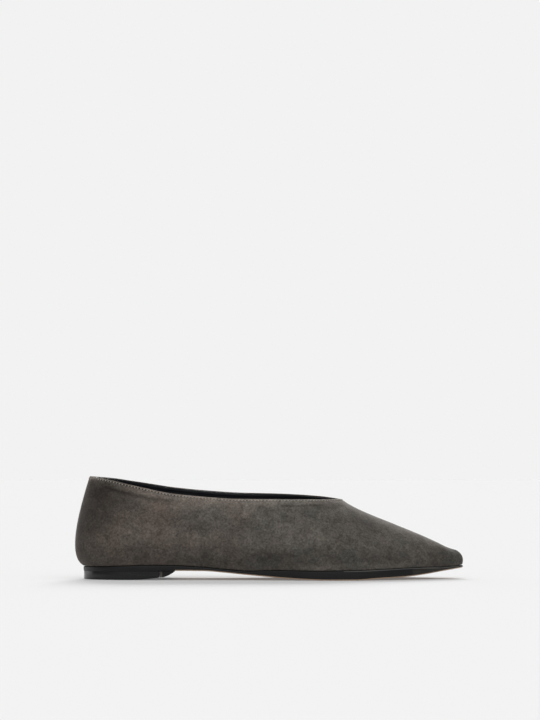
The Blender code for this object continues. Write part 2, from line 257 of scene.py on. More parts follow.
# Crest of the last behind the throat, and ridge of the vamp before it
CREST = table(
    ("station", "rise"),
    (0.000, 1.000),
    (0.390, 0.930),
    (0.640, 0.720),
    (0.790, 0.490),
    (0.883, 0.310),
    (0.945, 0.165),
    (0.975, 0.080),
    (1.000, 0.000),
)
RIDGE = table(
    ("station", "drop"),
    (0.00, 0.000),
    (0.065, 0.102),
    (0.16, 0.213),
    (0.28, 0.330),
    (0.47, 0.501),
    (0.71, 0.720),
    (0.84, 0.851),
    (0.94, 0.958),
    (1.00, 1.000),
)

# Form of a rib of the last, by its place: 0 at the back, 1 at the throat, 2 at the toe tip
RIB_FORM = table(
    ("place", "foot_swell", "foot_rise", "shoulder_swell", "shoulder_fall", "reach"),
    (0.00, 0.385, 0.085, 0.000, 0.350, 0.90),
    (0.10, 0.350, 0.10, 0.050, 0.280, 0.92),
    (0.22, 0.270, 0.17, 0.100, 0.180, 0.95),
    (0.45, 0.190, 0.25, 0.150, 0.080, 1.00),
    (0.70, 0.140, 0.32, 0.070, 0.020, 0.85),
    (0.85, 0.115, 0.37, 0.020, 0.000, 0.66),
    (1.00, 0.100, 0.40, 0.000, 0.000, 0.56),
    (1.30, 0.080, 0.43, 0.000, 0.000, 0.54),
    (1.70, 0.056, 0.50, 0.000, 0.000, 0.55),
    (1.90, 0.054, 0.54, 0.000, 0.000, 0.70),
    (2.00, 0.050, 0.58, 0.000, 0.000, 0.62),
)

# Soft troughs and ridges that follow the top line: where along the shoe they start and end, how far
# below the edge they run, how wide they are and how deep (a ridge is a negative depth), in millimetres
EDGE_FOLDS = (
    ("both", 2, 240, 1.40, 0.42, 0.20),
    ("both", 2, 240, 0.55, 0.50, -0.07),
    ("lateral", 134, 172, 4.6, 0.85, 0.62),
    ("lateral", 156, 182, 7.0, 1.5, 0.20),
    ("medial", 34, 84, 5.2, 1.5, 0.28),
    ("medial", 112, 160, 4.6, 1.4, 0.22),
)

# Creases and hollows placed on the sides: half width and depth (a ridge is a negative depth),
# then the path, along the shoe and above the floor, all in millimetres
CREASES = (
    ("lateral", 1.3, 0.50, (22, 61.5), (41, 56.3), (57, 53.3), (72, 52.3)),
    ("lateral", 1.3, -0.16, (28, 62.6), (43, 58.6), (57, 55.6), (70, 54.6)),
    ("lateral", 5.0, 0.40, (185, 43), (203, 35.5)),
    ("lateral", 3.5, -0.20, (176, 47), (186, 38)),
    ("lateral", 7.0, -0.30, (140, 24), (170, 21)),
    ("lateral", 4.5, 0.22, (118, 17), (148, 14)),
    ("lateral", 4.5, 0.20, (150, 33), (184, 27)),
    ("lateral", 6.0, 0.20, (54, 44), (82, 38)),
    ("lateral", 8.0, -0.22, (60, 30), (96, 27)),
    ("lateral", 5.0, 0.15, (28, 22), (50, 17)),
    ("medial", 5.5, 0.35, (184, 42), (204, 33)),
    ("medial", 6.0, -0.25, (150, 30), (186, 24)),
    ("medial", 7.0, 0.25, (88, 34), (124, 28)),
    ("medial", 6.0, 0.18, (52, 42), (84, 36)),
)

# How soon folds and creases reach their full depth, and a crease's depth at its ends and its reach
FOLD_FADE = 5
CREASE_FADE = 5
CREASE_END_DEPTH = 0.3
CREASE_REACH = 3

# Patches where a side is lighter or darker, partly the nap's own uneven tone and warmth, partly painted
# shade at the back and the toe and a painted highlight along the top of the back: place along the shoe
# and above the floor, size along and up, in millimetres, then how much lighter and warmer; and how far
# the medial ones are moved
NAP_TONE_AND_LIGHT_PATCHES = (
    (15, 50, 16, 26, -0.60, 0.00),
    (3, 22, 9, 20, -0.36, 0.00),
    (4, 38, 6, 14, -0.12, 0.00),
    (1, 16, 4, 16, 0.08, 0.10),
    (22, 61, 13, 7, -0.26, 0.00),
    (18, 68.4, 13, 1.6, 1.20, -0.04),
    (40, 49, 13, 7, -0.22, 0.00),
    (40, 33, 17, 8, 0.20, 0.03),
    (60, 47, 10, 6, 0.12, 0.03),
    (46, 15, 16, 6, -0.06, 0.00),
    (36, 10.5, 12, 1.8, 0.14, 0.02),
    (72, 26, 18, 5, -0.08, 0.03),
    (116, 27, 8, 5, 0.16, 0.00),
    (82, 37, 9, 5, -0.12, -0.03),
    (93, 47, 10, 5, -0.02, -0.04),
    (90, 13, 24, 6, -0.16, 0.00),
    (118, 46, 11, 8, 0.12, 0.00),
    (94, 50, 36, 8, 0.32, 0.01),
    (129, 27, 9, 13, 0.02, -0.02),
    (142, 32, 14, 6, 0.14, -0.02),
    (162, 32, 15, 5, 0.22, 0.00),
    (150, 44, 15, 6, 0.08, -0.02),
    (136, 13, 22, 6, -0.06, -0.02),
    (159, 20, 15, 5, -0.30, 0.00),
    (164, 8.5, 14, 2.0, 0.30, 0.00),
    (168, 29, 13, 6, 0.06, 0.02),
    (176, 38, 13, 6, -0.17, 0.00),
    (197, 24, 14, 8, -0.04, 0.00),
    (206, 13, 22, 6, -0.08, -0.02),
    (206, 9.5, 24, 2.4, 0.24, 0.01),
    (252, 13, 14, 9, -0.22, 0.00),
)
PATCH_SHIFT = 11

# Painted highlight on a ridge and painted shade in a trough, per millimetre of fold, and the cooler tint
# of the front part
FOLD_SHADE = 0.75
FRONT_TINT = (0.965, 1.03, 1.045)
TINT_FROM = 60
TINT_TO = 150

# Painted highlight along the top edge, growing from the back, and on its roll; painted shade on the
# inside of the roll and low on the sides
EDGE_HIGHLIGHT = 0.66
EDGE_HIGHLIGHT_WIDTH = 4.2
EDGE_HIGHLIGHT_FROM = 12
EDGE_HIGHLIGHT_FULL = 55
EDGE_HIGHLIGHT_LEAST = 0.35
ROLL_LIGHT = 0.44
ROLL_WIDTH = 0.8
ROLL_INSIDE_SHADE = 0.4
LOW_SHADE = 0.20
LOW_SHADE_TOP = 27
LOW_SHADE_FOOT = 12

# The closed seam down the back
BACK_SEAM_WIDTH = 0.34 * MM
BACK_SEAM_DEPTH = 0.22 * MM
BACK_SEAM_BULGE = 0.10 * MM
BACK_SEAM_BULGE_AT = 1.5 * MM
BACK_SEAM_END_X = 30 * MM

# Rows of the upper near its foot and near its top, as distances in millimetres
FOOT_ROWS = (0.0, 0.12, 0.3, 0.55, 0.9, 1.4)
TOP_ROWS = (
    7.0, 6.3, 5.6, 4.9, 4.3, 3.7, 3.15, 2.7, 2.35, 2.05, 1.75, 1.45, 1.15, 0.85, 0.55, 0.27, 0.0,
)
SHORT_RIB = 22 * MM

# Camera: nearly level, at the photograph's distance and framing
CAMERA_DISTANCE = 2.00
CAMERA_HEIGHT = 0.070
AIM_X = 0.37 * MM
AIM_HEIGHT = 0.14746
SENSOR = 36.0
LENS = 148.05

# Brightness of the pale set
SET_WHITE = 0.887
FLOOR_ALBEDO = 0.654
# The floor's glow is painted light: it lightens the shadows on the floor and the shoe's underside
FLOOR_GLOW = 0.13
FLOOR_SIZE = 80
FLOOR_GAP = 0.05 * MM

# Light of the surround by how much it faces a direction: the window's, and the backdrop's
WINDOW = (0.0, -0.6, 0.8)
WINDOW_LIGHT = ((0.0, 0.12), (0.45, 0.28), (0.8, 0.66), (1.0, 0.80))
BACKDROP = (0, 1, 0)
BACKDROP_LIGHT = ((0.55, 0.0), (0.93, SET_WHITE))

# Suns: azimuth and elevation that each shines from, its strength, and its size in degrees
SUNS = (
    ("front", 0, 55, 0.6, 60),
    ("back", 180, 30, 3.1, 30),
    ("left", -118, 9, 0.35, 36),
)


def bell(distance, reach):
    """1 at no distance, falling softly to nothing beyond the reach."""
    return math.exp(-((distance / reach) ** 2))


def share_between(value, start, end):
    """How far a value lies from start to end, kept between 0 and 1."""
    return min(max((value - start) / (end - start), 0.0), 1.0)


def smooth(share):
    """A share that starts and ends gently."""
    share = min(share, 1.0)
    return share * share * (3 - 2 * share)


def slopes(places, values):
    """Slopes at a table's rows that keep the curve between two rows inside them."""
    steps = [
        (values[i + 1] - values[i]) / (places[i + 1] - places[i])
        for i in range(len(places) - 1)
    ]
    inner = [
        2 * a * b / (a + b) if a * b > 0 else 0.0
        for a, b in zip(steps, steps[1:])
    ]
    return [steps[0], *inner, steps[-1]]


def read(rows, column, place):
    """A column of a table at any place, on a smooth curve through its rows."""
    places = next(iter(rows.values()))
    values = rows[column]
    place = min(max(place, places[0]), places[-1])
    i = max(k for k in range(len(places) - 1) if places[k] <= place)
    span = places[i + 1] - places[i]
    t = (place - places[i]) / span
    slope = slopes(places, values)
    return (
        (2 * t**3 - 3 * t**2 + 1) * values[i]
        + (t**3 - 2 * t**2 + t) * span * slope[i]
        + (3 * t**2 - 2 * t**3) * values[i + 1]
        + (t**3 - t**2) * span * slope[i + 1]
    )


def rounded(distance, radius):
    """Share of the full width at a distance from a rounded end."""
    if distance >= radius:
        return 1.0
    return math.sqrt(max(0.0, 1 - (1 - distance / radius) ** 2))


def sole_underside(x):
    """Height of the sole's underside."""
    station = x / SHOE_LENGTH
    seat = HEEL_HEIGHT + JOINT_GAP
    return seat * read(SOLE_LINE, "heel", station) + TOE_SPRING * read(SOLE_LINE, "spring", station)


def sole_top(x):
    """Height of the sole's upper face."""
    return sole_underside(x) + SOLE_THICKNESS * read(SOLE_LINE, "thickness", x / SHOE_LENGTH)


TREAD_BACK = SEAT_SETBACK
TREAD_TIP = SHOE_LENGTH - SOLE_OVERHANG
THROAT_X = SHOE_LENGTH - VAMP_LENGTH
RIDGE_END_X = SHOE_LENGTH - TOE_SLOPE_LENGTH
HEEL_BACK = TREAD_BACK - SOLE_OVERHANG + HEEL_INSET
BREAST_X = HEEL_BACK + HEEL_LENGTH
FLAP_FRONT = BREAST_X + JOINT_GAP + FLAP_LENGTH


def tread_middle(x):
    """Y of the tread's middle at x, and half of its width there before its ends are rounded."""
    station = (x - TREAD_BACK) / (TREAD_TIP - TREAD_BACK)
    lateral = read(TREAD, "lateral", station) * TREAD_WIDTH / 2
    medial = read(TREAD, "medial", station) * TREAD_WIDTH / 2
    return (medial - lateral) / 2, (medial + lateral) / 2


def tread_sides(x):
    """Y of the lateral and the medial edge of the tread."""
    middle, half = tread_middle(x)
    half *= rounded(x - TREAD_BACK, SEAT_ROUNDING) * rounded(TREAD_TIP - x, TOE_ROUNDING)
    return middle - half, middle + half


def foot_x(place):
    """X of the foot of the rib at a place round the last."""
    foot_of_throat = THROAT_X + THROAT_RIB_LEAD * (TREAD_TIP - THROAT_X)
    if place <= 1:
        share = (1 - EVEN_SPACING) * (1 - math.cos(math.pi * place)) / 2 + EVEN_SPACING * place
        return TREAD_BACK + share * (foot_of_throat - TREAD_BACK)
    return foot_of_throat + math.sin(math.pi * (place - 1) / 2) * (TREAD_TIP - foot_of_throat)


def ridge_y(x):
    """Y of the crest and the ridge: the middle of the tread, moved to the medial side at the throat."""
    moved = min(x / THROAT_X, (TREAD_TIP - x) / (TREAD_TIP - THROAT_X))
    return tread_middle(x)[0] + RIDGE_OFFSET * moved


def top_line_height(x, side):
    """Height at which the leather is cut at x, below the roll of its edge."""
    share = read(TOP_LINE, side, x / THROAT_X)
    return THROAT_HEIGHT + share * (BACK_HEIGHT - THROAT_HEIGHT) - EDGE_ROLL


def crest_point(place):
    """The top of a rib: on the last's crest behind the throat, on the vamp's ridge before it."""
    if place <= 1:
        station = (1 - math.cos(math.pi * place)) / 2
        x = LAST_TOP_SETBACK + station * (THROAT_X - LAST_TOP_SETBACK)
        z = THROAT_HEIGHT + read(CREST, "rise", station) * (LAST_HEIGHT - THROAT_HEIGHT)
    else:
        t = place - 1
        station = (t + math.sin(math.pi * t / 2)) / 2
        x = THROAT_X + station * (RIDGE_END_X - THROAT_X)
        z = THROAT_HEIGHT + read(RIDGE, "drop", station) * (TOE_HEIGHT - THROAT_HEIGHT)
    return Vector((x, ridge_y(x), z))


def crest_slope(place):
    """Slope of the crest and the ridge at a rib's top."""
    step = 0.02
    behind = crest_point(max(0.0, place - step))
    ahead = crest_point(min(2.0, place + step))
    return (ahead.z - behind.z) / (ahead.x - behind.x)


def rib_curve(place, foot, normal):
    """The four control points of a rib of the last, from its foot to its top."""
    form = {name: read(RIB_FORM, name, place) for name in RIB_FORM}
    half = TREAD_WIDTH / 2
    top = crest_point(place)
    height = top.z - foot.z
    run = Vector((foot.x - top.x, foot.y - top.y, 0))
    low = foot + normal * form["foot_swell"] * half + UP * form["foot_rise"] * height
    high = top + run * form["reach"] + normal * form["shoulder_swell"] * half
    high.z += crest_slope(place) * (high.x - top.x) - form["shoulder_fall"] * height
    return foot, low, high, top


def curve_point(curve, t):
    """A point of a cubic curve."""
    foot, low, high, top = curve
    return (
        foot * (1 - t) ** 3
        + low * 3 * t * (1 - t) ** 2
        + high * 3 * t**2 * (1 - t)
        + top * t**3
    )


def bisect(below, low, high):
    """The place between low and high where a condition stops being true."""
    for _ in range(30):
        middle = (low + high) / 2
        if below(middle):
            low = middle
        else:
            high = middle
    return low


def cut_place(curve, side):
    """How far up a rib the top line cuts it."""
    def is_below(t):
        point = curve_point(curve, t)
        return point.z < top_line_height(point.x, side)

    return bisect(is_below, 0.0, 1.0)


# Place of the rib that ends where the cut edge crosses the ridge
THROAT_PLACE = bisect(lambda place: crest_point(place).z > THROAT_HEIGHT - EDGE_ROLL, 1.0, 1.3)


def outward(ring):
    """Outward directions in plan at the points of a ring."""
    normals = []
    for i in range(len(ring)):
        along = ring[(i + 1) % len(ring)] - ring[i - 1]
        normals.append(Vector((along.y, -along.x, 0)).normalized())
    return normals


def foot_point(place, side):
    """Foot of the rib at a place, on the tread's edge."""
    x = foot_x(place)
    return Vector((x, tread_sides(x)[0 if side == "lateral" else 1], sole_top(x) + JOINT_GAP))


def rib_top(place):
    """Top of the lateral rib at a place: on the top line behind the throat, on the ridge before it."""
    if place >= THROAT_PLACE:
        return crest_point(place)
    step = 0.004
    along = foot_point(place + step, "lateral") - foot_point(max(place - step, 0.0), "lateral")
    normal = Vector((along.y, -along.x, 0)).normalized()
    curve = rib_curve(place, foot_point(place, "lateral"), normal)
    return curve_point(curve, cut_place(curve, "lateral"))


def spread(samples, count, closeness):
    """Places of ribs between the first and the last sample, as even at their feet as at their tops."""
    feet = [foot_point(place, "lateral") for place in samples]
    tops = [rib_top(place) for place in samples]
    lengths = [
        ((feet[i + 1] - feet[i]).length + (tops[i + 1] - tops[i]).length) * closeness(feet[i], tops[i])
        for i in range(len(samples) - 1)
    ]
    total = sum(lengths)
    places = [samples[0]]
    passed = 0.0
    for before, after, length in zip(samples, samples[1:], lengths):
        while len(places) < count and passed + length >= total * len(places) / count:
            share = (total * len(places) / count - passed) / length
            places.append(before + share * (after - before))
        passed += length
    return places + [samples[-1]]


def rib_places():
    """Places of all ribs from the back to the tip, closer at the seam and at the throat."""
    def near_seam_or_throat(foot, top):
        seam = SEAM_CLOSER * bell(foot.y, SEAM_REACH)
        return 1 + seam + COLLAR_CLOSER * bell(THROAT_X - top.x, COLLAR_REACH)

    def near_throat(foot, top):
        return 1 + VAMP_CLOSER * bell(top.x - THROAT_X, VAMP_REACH)

    collar = [THROAT_PLACE * (i / COLLAR_SAMPLES) ** COLLAR_START for i in range(COLLAR_SAMPLES + 1)]
    vamp = [THROAT_PLACE + (2 - THROAT_PLACE) * i / VAMP_SAMPLES for i in range(VAMP_SAMPLES + 1)]
    behind = spread(collar, COLLAR_RIBS, near_seam_or_throat)
    return behind + spread(vamp, VAMP_RIBS, near_throat)[1:]


def row_rises(length):
    """Distances up a rib of a length at which it is cut: closer at its foot and at its top."""
    scale = min(1.0, length / SHORT_RIB) * MM
    foot = [row * scale for row in FOOT_ROWS]
    top = [length - row * scale for row in TOP_ROWS]
    span = top[0] - foot[-1]
    body = [foot[-1] + span * (i + 1) / (BODY_ROWS + 1) for i in range(BODY_ROWS)]
    return foot + body + top


def rib_points(curve, end):
    """Points up one rib, at its rows' distances."""
    points = [curve_point(curve, end * i / RIB_SAMPLES) for i in range(RIB_SAMPLES + 1)]
    passed = [0.0]
    for a, b in zip(points, points[1:]):
        passed.append(passed[-1] + (b - a).length)
    rib = []
    i = 0
    for rise in row_rises(passed[-1]):
        while i < RIB_SAMPLES - 1 and passed[i + 1] < rise:
            i += 1
        t = (rise - passed[i]) / (passed[i + 1] - passed[i])
        rib.append(curve_point(curve, end * (i + min(1.0, t)) / RIB_SAMPLES))
    return rib


class Last:
    """The last cut into ribs: a ring of columns, up the lateral side and back down the medial."""

    def __init__(self):
        self.places = rib_places()
        self.tip = COLLAR_RIBS + VAMP_RIBS
        self.columns = 2 * self.tip
        self.ribs_of = [c if c <= self.tip else self.columns - c for c in range(self.columns)]
        self.sides = ["lateral" if c <= self.tip else "medial" for c in range(self.columns)]
        self.feet = [
            foot_point(self.places[rib], side) for rib, side in zip(self.ribs_of, self.sides)
        ]
        self.normals = outward(self.feet)
        self.points = [self.column(c) for c in range(self.columns)]
        self.collar = [c for c in range(self.columns) if self.ribs_of[c] < COLLAR_RIBS]
        self.collar.insert(COLLAR_RIBS, COLLAR_RIBS)

    def column(self, c):
        """Points of one column, from its foot to the top line or the ridge."""
        rib = self.ribs_of[c]
        curve = rib_curve(self.places[rib], self.feet[c], self.normals[c])
        end = cut_place(curve, self.sides[c]) if rib < COLLAR_RIBS else 1.0
        points = rib_points(curve, end)
        if rib >= COLLAR_RIBS:
            points[-1] = crest_point(self.places[rib])
        return points

    def shares_top(self, c):
        """Whether a medial column ends in the same point of the ridge as its lateral partner."""
        return c > self.tip and self.ribs_of[c] >= COLLAR_RIBS


def put(name, data):
    """A new object in the scene."""
    thing = bpy.data.objects.new(name, data)
    bpy.context.scene.collection.objects.link(thing)
    return thing


def point_axis(thing, direction, axis):
    """Turn an object so that one of its axes points in a direction."""
    thing.rotation_mode = "QUATERNION"
    thing.rotation_quaternion = direction.to_track_quat(axis, "Y")


def make_mesh(name, bm, materials):
    """A mesh with its materials."""
    mesh = bpy.data.meshes.new(name)
    bm.to_mesh(mesh)
    bm.free()
    for material in materials:
        mesh.materials.append(material)
    return mesh


def finish_piece(name, bm, materials, slot, *nodes):
    """A piece of the shoe, moved to where the solids lie, riding on the body and replacing its nodes."""
    bmesh.ops.recalc_face_normals(bm, faces=bm.faces)
    mesh = make_mesh(name, bm, materials)
    mesh.transform(Matrix.Translation(ORIGIN))
    mesh.shade_smooth()
    mesh.set_sharp_from_angle(angle=SHARP_ANGLE)
    piece = put(name, mesh)
    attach(piece, "root")
    if nodes:
        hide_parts(*nodes)


def band(bm, lower, upper, material=0, closed=True):
    """Faces between two rows of vertices, left out where both rows share their vertices."""
    count = len(lower)
    for i in range(count if closed else count - 1):
        j = (i + 1) % count
        corners = list(dict.fromkeys((lower[i], lower[j], upper[j], upper[i])))
        if len(corners) > 2:
            bm.faces.new(corners).material_index = material


def bands(bm, rows):
    """Faces between each closed row of vertices and the next."""
    for lower, upper in zip(rows, rows[1:]):
        band(bm, lower, upper)


def fold_offset(x, z, side, below):
    """How far the folds move the suede at a point, inwards where it is negative, in millimetres."""
    offset = 0.0
    for where, start, end, depth_below, width, depth in EDGE_FOLDS:
        if where not in ("both", side) or not start < x < end:
            continue
        along = (x - start) / (end - start)
        fade = smooth(FOLD_FADE * min(along, 1 - along))
        offset -= depth * fade * bell(below - depth_below, width)
    here = Vector((x, z))
    for where, width, depth, *path in CREASES:
        if where != side:
            continue
        runs = [(Vector(a), Vector(b) - Vector(a)) for a, b in zip(path, path[1:])]
        total = sum(run.length for _, run in runs)
        nearest, fade, passed = math.inf, 0.0, 0.0
        for start, run in runs:
            along = min(max((here - start).dot(run) / run.length_squared, 0.0), 1.0)
            away = (here - start - run * along).length
            if away < nearest:
                share = (passed + run.length * along) / total
                nearest = away
                fade = min(1.0, CREASE_FADE * min(share, 1 - share) + CREASE_END_DEPTH)
            passed += run.length
        if nearest < CREASE_REACH * width:
            offset -= depth * fade * bell(nearest, width)
    return offset


def suede_tone_and_light(x, z, side, below, fold):
    """The suede's colour at a point: the nap's uneven tone and warmth, painted highlight and shade from
    the folds, painted highlight along the top edge and its roll, and painted shade low on the sides.
    """
    shift = 0 if side == "lateral" else PATCH_SHIFT
    # Painted highlight on ridges and painted shade in troughs
    light = 1.0 + FOLD_SHADE * fold
    warmth = 0.0
    # Patches of the nap's own tone, some of them painted shade at the back and the toe and a painted
    # highlight
    for x0, z0, length, height, lighter, warmer in NAP_TONE_AND_LIGHT_PATCHES:
        near = bell(x - x0 - shift, length) * bell(z - z0, height)
        light += lighter * near
        warmth += warmer * near
    # Painted shade low on the sides
    light -= LOW_SHADE * smooth(share_between(z, LOW_SHADE_TOP, LOW_SHADE_FOOT))
    # Painted highlight along the top edge and on its roll
    edge_lit = max(share_between(x, EDGE_HIGHLIGHT_FROM, EDGE_HIGHLIGHT_FULL), EDGE_HIGHLIGHT_LEAST)
    light += EDGE_HIGHLIGHT * edge_lit * bell(below, EDGE_HIGHLIGHT_WIDTH)
    light += ROLL_LIGHT * bell(below, ROLL_WIDTH)
    front = share_between(x, TINT_FROM, TINT_TO)
    red, green, blue = (1 + front * (channel - 1) for channel in FRONT_TINT)
    return light * (red + warmth), light * green, light * (blue - warmth / 2), 1.0


def seam_offset(point):
    """The closed seam down the back of the heel: a fine groove between two faint swells."""
    if point.x > BACK_SEAM_END_X:
        return 0.0
    away = abs(point.y)
    swell = BACK_SEAM_BULGE * bell(away - BACK_SEAM_BULGE_AT, BACK_SEAM_BULGE_AT)
    return swell - BACK_SEAM_DEPTH * bell(away, BACK_SEAM_WIDTH)


def feather_offset(rise):
    """The suede turning in under itself, just above the sole."""
    if rise >= FEATHER_ROLL:
        return 0.0
    return -FEATHER_ROLL * (1 - math.sqrt(1 - (1 - rise / FEATHER_ROLL) ** 2))


def edge_distances(points, edge):
    """Distances from points to the closed top line, which is cut finely enough to be a cloud."""
    spacing = 0.15 * MM
    cloud = []
    for a, b in zip(edge, edge[1:] + edge[:1]):
        steps = max(1, math.ceil((b - a).length / spacing))
        cloud += [a.lerp(b, i / steps) for i in range(steps)]
    tree = KDTree(len(cloud))
    for i, point in enumerate(cloud):
        tree.insert(point, i)
    tree.balance()
    return [tree.find(point)[2] for point in points]


class Sheet:
    """The suede's outer face as a grid of vertices, with its folds pressed in."""

    def __init__(self, last):
        self.last = last
        self.rows = len(last.points[0])
        self.ids = []
        self.points = []
        self.column_of = []
        for row in range(self.rows):
            line = []
            for c in range(last.columns):
                if row == self.rows - 1 and last.shares_top(c):
                    line.append(line[last.ribs_of[c]])
                    continue
                line.append(len(self.points))
                self.points.append(last.points[c][row].copy())
                self.column_of.append(c)
            self.ids.append(line)
        self.edge = [self.ids[-1][c] for c in last.collar]
        self.press_folds()
        self.normals = self.point_normals()

    def faces(self, first_row=0):
        """Corner numbers of the faces from one row up."""
        for lower, upper in zip(self.ids[first_row:], self.ids[first_row + 1:]):
            for c in range(self.last.columns):
                d = (c + 1) % self.last.columns
                corners = dict.fromkeys((lower[c], lower[d], upper[d], upper[c]))
                if len(corners) > 2:
                    yield tuple(corners)

    def point_normals(self):
        """Outward normals at the grid's points."""
        mesh = bpy.data.meshes.new("measured_sheet")
        mesh.from_pydata(self.points, [], list(self.faces()))
        mesh.update()
        normals = [vertex.normal.copy() for vertex in mesh.vertices]
        bpy.data.meshes.remove(mesh)
        return normals

    def press_folds(self):
        """Move the points in and out by the folds, the seam and the turned foot, and colour them with
        the suede's tone and its painted light and shade.
        """
        normals = self.point_normals()
        below = edge_distances(self.points, [self.points[i] for i in self.edge])
        moved = []
        self.colours = []
        for point, normal, c, drop in zip(self.points, normals, self.column_of, below):
            place = (point.x / MM, point.z / MM, self.last.sides[c], drop / MM)
            fold = fold_offset(*place)
            self.colours.append(suede_tone_and_light(*place, fold))
            rise = (point - self.last.feet[c]).length
            flat = Vector((normal.x, normal.y, 0)).normalized() if rise < FEATHER_ROLL else normal
            offset = fold * MM + seam_offset(point)
            moved.append(point + normal * offset + flat * feather_offset(rise))
        self.points = moved

    def edge_frames(self):
        """Point, outward normal and upward direction round the top line."""
        frames = []
        count = len(self.edge)
        for i, vertex in enumerate(self.edge):
            along = self.points[self.edge[(i + 1) % count]] - self.points[self.edge[i - 1]]
            normal = self.normals[vertex]
            along = (along - normal * along.dot(normal)).normalized()
            frames.append((self.points[vertex], normal, normal.cross(along)))
        if frames[0][2].z < 0:
            frames = [(point, normal, -up) for point, normal, up in frames]
        return frames


def edge_ring(bm, frames, inwards, upwards):
    """Vertices round the top line, a distance inside the sheet and above its edge."""
    return [bm.verts.new(point - normal * inwards + up * upwards) for point, normal, up in frames]


def make_upper(sheet, suede):
    """The suede: its outer face, the rolled top edge, its inner face and the margin under the foot."""
    bm = bmesh.new()
    # The 'nap' colour holds the suede's own tone with painted light and shade: highlights on ridges and
    # the top edge, shade in troughs and low on the sides
    nap = bm.verts.layers.float_color.new("nap")
    outer = [bm.verts.new(p) for p in sheet.points]
    inner = [bm.verts.new(p - n * SUEDE_THICKNESS) for p, n in zip(sheet.points, sheet.normals)]
    for corners in sheet.faces():
        bm.faces.new([outer[i] for i in corners])
        bm.faces.new([inner[i] for i in reversed(corners)])
    for vertices in (outer, inner):
        for vertex, colour in zip(vertices, sheet.colours):
            vertex[nap] = colour

    frames = sheet.edge_frames()
    rings = [[outer[i] for i in sheet.edge]]
    for k in range(1, EDGE_TURNS):
        angle = math.pi * k / EDGE_TURNS
        inwards, upwards = EDGE_ROLL * (1 - math.cos(angle)), EDGE_ROLL * math.sin(angle)
        rings.append(edge_ring(bm, frames, inwards, upwards))
        # Painted shade on the inner half of the roll
        shade = 1 if k < EDGE_TURNS / 2 else ROLL_INSIDE_SHADE
        for vertex, i in zip(rings[-1], sheet.edge):
            red, green, blue, _ = sheet.colours[i]
            vertex[nap] = (shade * red, shade * green, shade * blue, 1.0)
    bands(bm, [*rings, [inner[i] for i in sheet.edge]])

    def margin_row(share, lift):
        row = []
        for foot, normal in zip(sheet.last.feet, sheet.last.normals):
            margin = min(LASTING_MARGIN, MARGIN_LIMIT * tread_middle(foot.x)[1])
            point = foot - normal * (FEATHER_ROLL + (margin - FEATHER_ROLL) * share)
            row.append(bm.verts.new((point.x, point.y, sole_top(point.x) + JOINT_GAP + lift)))
            row[-1][nap] = (1, 1, 1, 1)
        return row

    under = [margin_row(share, 0.0) for share in MARGIN_ROWS]
    over = [margin_row(share, SUEDE_THICKNESS) for share in reversed(MARGIN_ROWS)]
    feet = sheet.ids[0]
    bands(bm, [[outer[i] for i in feet], *under, *over, [inner[i] for i in feet]])
    finish_piece("suede_upper", bm, [suede], "suede_upper", "upper")


def make_lining(sheet, lining):
    """The black lining, cemented inside the suede and trimmed just below its rolled edge."""
    bm = bmesh.new()
    first = next(
        row for row in range(sheet.rows)
        if all((column[row] - column[0]).length > LINING_START for column in sheet.last.points)
    )
    used = sorted({i for row in sheet.ids[first:] for i in row})

    def layer(depth):
        return {i: bm.verts.new(sheet.points[i] - sheet.normals[i] * depth) for i in used}

    glued = SUEDE_THICKNESS + LINING_GAP
    near = layer(glued)
    inside = layer(WALL)
    for corners in sheet.faces(first):
        bm.faces.new([near[i] for i in corners])
        bm.faces.new([inside[i] for i in reversed(corners)])
    frames = sheet.edge_frames()
    rings = [
        edge_ring(bm, frames, glued + depth * (WALL - glued), rise * LINING_REACH)
        for depth, rise in LINING_EDGE
    ]
    bands(bm, [[near[i] for i in sheet.edge], *rings, [inside[i] for i in sheet.edge]])
    band(bm, [near[i] for i in sheet.ids[first]], [inside[i] for i in sheet.ids[first]])
    finish_piece("collar_lining", bm, [lining], "sock_leather", "upper")


def oval(bm, centre, wide, high):
    """A ring of vertices round a centre, from its two half axes."""
    turn = 2 * math.pi / STITCH_SIDES
    return [
        bm.verts.new(centre + wide * math.cos(turn * s) + high * math.sin(turn * s))
        for s in range(STITCH_SIDES)
    ]


